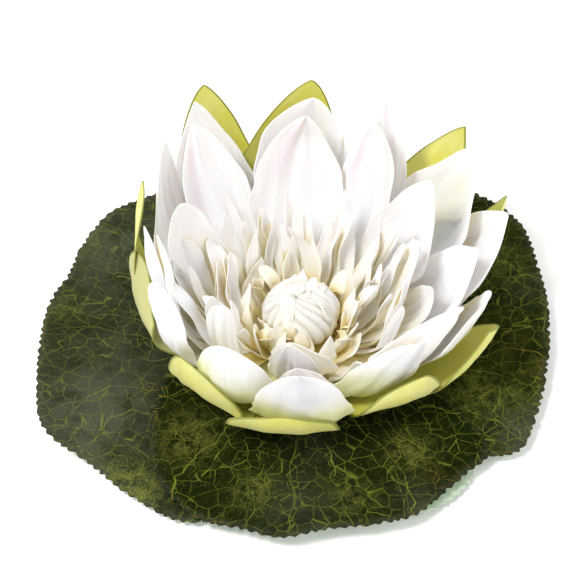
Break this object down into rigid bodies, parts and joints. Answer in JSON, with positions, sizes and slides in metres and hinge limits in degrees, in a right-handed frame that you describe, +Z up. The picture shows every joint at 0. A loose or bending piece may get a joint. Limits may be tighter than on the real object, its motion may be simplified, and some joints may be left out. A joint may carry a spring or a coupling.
{
  "type": "artificial lotus flower on lily leaves",
  "caption": "White cloth lotus bloom with yellow-green sepals and a pleated centre bud, pinned on round toothed dark-green lily leaves.",
  "frame": {"origin": "on the bloom's axis, at the flat underside of the receptacle, on the surface that the flower stands on", "axes": "+Z up along the pin, -Y towards the side that the picture looks from, +X to its right"},
  "size_m": [0.1295, 0.121, 0.0485],
  "materials": {
    "moulded_plastic": "satin moulded green plastic",
    "leaf_cloth": "dark green printed cloth with a net of yellow-green veins and a dull sheen",
    "leaf_underside": "pale mint green cloth, the unprinted side of a leaf",
    "sepal_cloth": "yellow-green cloth with a thin darker edge",
    "petal_cloth": "white satin cloth with pressed ribs, cream and yellow-green towards the root",
    "bud_cloth": "cream pleated cloth"
  },
  "bodies": {
    "root": {"receptacle": "moulded_plastic", "leaf_under": "leaf_underside", "leaf_left": "leaf_cloth", "leaf_right": "leaf_cloth", "leaf_front": "leaf_cloth", "sepals": "sepal_cloth", "petals": "petal_cloth", "centre_bud": "bud_cloth"}
  },
  "joints": []
}
